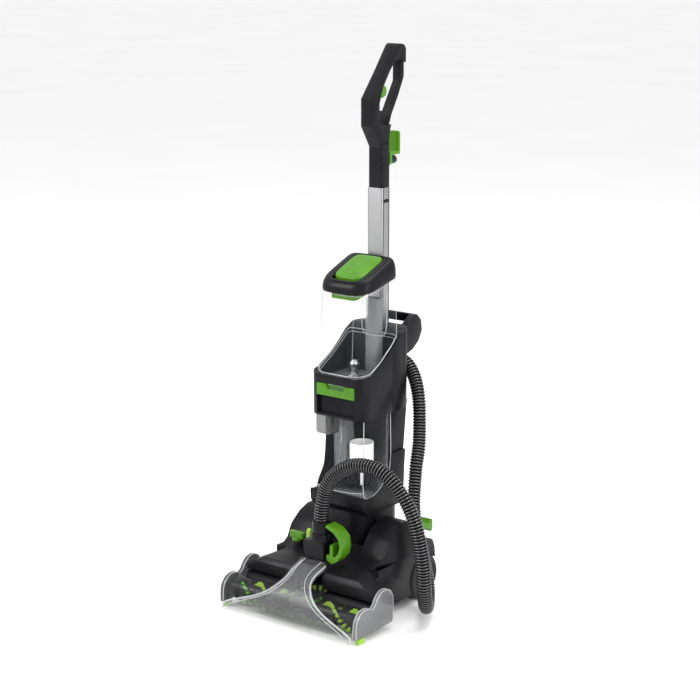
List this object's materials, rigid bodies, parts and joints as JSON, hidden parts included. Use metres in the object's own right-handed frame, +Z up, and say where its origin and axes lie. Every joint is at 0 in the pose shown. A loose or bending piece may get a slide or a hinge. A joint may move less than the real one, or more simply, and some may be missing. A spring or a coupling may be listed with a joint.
{
  "type": "upright carpet washer",
  "caption": "Upright carpet washer: flared clear nozzle over twin brush rolls, reclining body with two clear tanks, flat pole, loop handle and a ribbed suction hose.",
  "frame": {"origin": "centre of the footprint on the floor, without the hose", "axes": "+Z up; the nozzle lip faces -Y; +X is the right-hand side seen from in front of the nozzle, and the reclining hinge runs along X"},
  "size_m": [0.4164, 0.392, 1.103],
  "materials": {
    "black_plastic": "moulded, fine satin texture",
    "grey_plastic": "moulded, matt",
    "green_plastic": "moulded, glossy grass green",
    "lime_bristle": "nylon tufts on a black core",
    "lime_plastic": "moulded, glossy yellow-green",
    "clear_plastic": "clear moulded plastic, slightly smoky",
    "silver_metal": "brushed and lacquered tube",
    "steel": "machined",
    "white_plastic": "moulded, satin",
    "light_grey_plastic": "moulded, satin",
    "rubber": "moulded, matt"
  },
  "bodies": {
    "base": {"chassis": "grey_plastic", "base_cover": "black_plastic", "brush_hood": "clear_plastic", "end_cap_left": "clear_plastic", "end_cap_right": "clear_plastic", "edge_brush_left": "lime_bristle", "edge_brush_right": "lime_bristle", "nozzle": "clear_plastic", "brush_motor": "steel", "drive_belt": "rubber", "water_pump": "grey_plastic", "axle": "steel", "hose_connector": "black_plastic", "hose_cuff": "rubber", "hose": "rubber"},
    "left_roller": {"front_roller_left": "light_grey_plastic"},
    "right_roller": {"front_roller_right": "light_grey_plastic"},
    "front_brush": {"front_brush_roll": "lime_bristle"},
    "rear_brush": {"rear_brush_roll": "lime_bristle"},
    "pulley": {"motor_pulley": "steel"},
    "left_wheel": {"wheel_left": "black_plastic"},
    "right_wheel": {"wheel_right": "black_plastic"},
    "recline_foot_pedal": {"recline_pedal": "green_plastic"},
    "power_foot_pedal": {"power_pedal": "green_plastic"},
    "connector_lever": {"hose_lever": "green_plastic"},
    "mode_knob": {"selector_knob": "green_plastic"},
    "mode_tab": {"selector_tab": "lime_plastic"},
    "upper": {"spine": "black_plastic", "carry_handle": "black_plastic", "dirty_tank": "clear_plastic", "tank_duct": "light_grey_plastic", "mid_housing": "black_plastic", "pole": "silver_metal", "handle": "black_plastic", "hook_boss": "black_plastic", "suction_motor": "steel", "cord_gland": "rubber", "hose_port": "black_plastic"},
    "water_float": {"float_cup": "white_plastic"},
    "latch": {"tank_latch": "green_plastic"},
    "upper_tank": {"clean_tank": "clear_plastic", "standpipe": "clear_plastic", "tank_valve": "steel", "tank_lid": "black_plastic", "lid_plug": "green_plastic"},
    "fill_flap": {"lid_pad": "green_plastic"},
    "grip_trigger": {"trigger": "green_plastic"},
    "pole_button": {"lock_button": "black_plastic"},
    "hook": {"cord_hook": "green_plastic"},
    "fan": {"suction_fan": "silver_metal"}
  },
  "joints": [
    {"name": "recline", "type": "hinge", "parent": "base", "child": "upper", "pos_m": [0, 0.086, 0.085], "axis": [-1, 0, 0], "range_deg": [0, 55], "deforming": ["hose"]},
    {"name": "left_wheel_spin", "type": "hinge", "parent": "base", "child": "left_wheel", "pos_m": [-0.115, 0.098, 0.047], "axis": [1, 0, 0], "continuous": true},
    {"name": "right_wheel_spin", "type": "hinge", "parent": "base", "child": "right_wheel", "pos_m": [0.115, 0.098, 0.047], "axis": [1, 0, 0], "continuous": true},
    {"name": "left_roller_spin", "type": "hinge", "parent": "base", "child": "left_roller", "pos_m": [-0.068, -0.04, 0.009], "axis": [1, 0, 0], "continuous": true},
    {"name": "right_roller_spin", "type": "hinge", "parent": "base", "child": "right_roller", "pos_m": [0.068, -0.04, 0.009], "axis": [1, 0, 0], "continuous": true},
    {"name": "rear_brush_spin", "type": "hinge", "parent": "base", "child": "rear_brush", "pos_m": [0, -0.09, 0.029], "axis": [1, 0, 0], "continuous": true},
    {"name": "front_brush_spin", "type": "hinge", "parent": "base", "child": "front_brush", "pos_m": [0, -0.146, 0.029], "axis": [1, 0, 0], "continuous": true},
    {"name": "pulley_spin", "type": "hinge", "parent": "base", "child": "pulley", "pos_m": [0.08, -0.033, 0.04], "axis": [1, 0, 0], "continuous": true},
    {"name": "recline_pedal_press", "type": "hinge", "parent": "base", "child": "recline_foot_pedal", "pos_m": [0.105, 0.0816, 0.149], "axis": [-1, 0, 0], "range_deg": [0, 8], "stiffness_Nm_per_rad": 2},
    {"name": "power_pedal_press", "type": "hinge", "parent": "base", "child": "power_foot_pedal", "pos_m": [-0.105, 0.0816, 0.149], "axis": [-1, 0, 0], "range_deg": [0, 8], "stiffness_Nm_per_rad": 2},
    {"name": "connector_lever_swing", "type": "hinge", "parent": "base", "child": "connector_lever", "pos_m": [0.031, -0.082, 0.12], "axis": [0, 1, 0], "range_deg": [0, 14]},
    {"name": "mode_knob_turn", "type": "hinge", "parent": "base", "child": "mode_knob", "pos_m": [-0.08, -0.05, 0.13], "axis": [0, 0, 1], "range_deg": [0, 90]},
    {"name": "mode_tab_tilt", "type": "hinge", "parent": "base", "child": "mode_tab", "pos_m": [-0.051, -0.049, 0.1254], "axis": [1, 0, 0], "range_deg": [-12, 12]},
    {"name": "float_rise", "type": "slide", "parent": "upper", "child": "water_float", "axis": [0, 0, 1], "range_m": [0, 0.03]},
    {"name": "latch_press", "type": "hinge", "parent": "upper", "child": "latch", "pos_m": [0, -0.024, 0.451], "axis": [1, 0, 0], "range_deg": [0, 10], "stiffness_Nm_per_rad": 0.5},
    {"name": "upper_tank_lift", "type": "slide", "parent": "upper", "child": "upper_tank", "axis": [0, 0, 1], "range_m": [0, 0.1]},
    {"name": "fill_flap_open", "type": "hinge", "parent": "upper_tank", "child": "fill_flap", "pos_m": [0, 0.086, 0.687], "axis": [-1, 0, 0], "range_deg": [0, 70]},
    {"name": "trigger_squeeze", "type": "slide", "parent": "upper", "child": "grip_trigger", "axis": [0, -1, 0], "range_m": [0, 0.006], "stiffness_N_per_m": 400},
    {"name": "pole_button_press", "type": "slide", "parent": "upper", "child": "pole_button", "axis": [-1, 0, 0], "range_m": [0, 0.002], "stiffness_N_per_m": 200},
    {"name": "hook_turn", "type": "hinge", "parent": "upper", "child": "hook", "pos_m": [0, 0.14, 0.876], "axis": [0, 1, 0], "range_deg": [0, 180]},
    {"name": "fan_spin", "type": "hinge", "parent": "upper", "child": "fan", "pos_m": [0, 0.046, 0.165], "axis": [0, 0, 1], "continuous": true}
  ],
  "couplings": [
    {"joint": "front_brush_spin", "follows": "rear_brush_spin", "ratio": -1},
    {"joint": "pulley_spin", "follows": "rear_brush_spin", "ratio": 1.5}
  ]
}
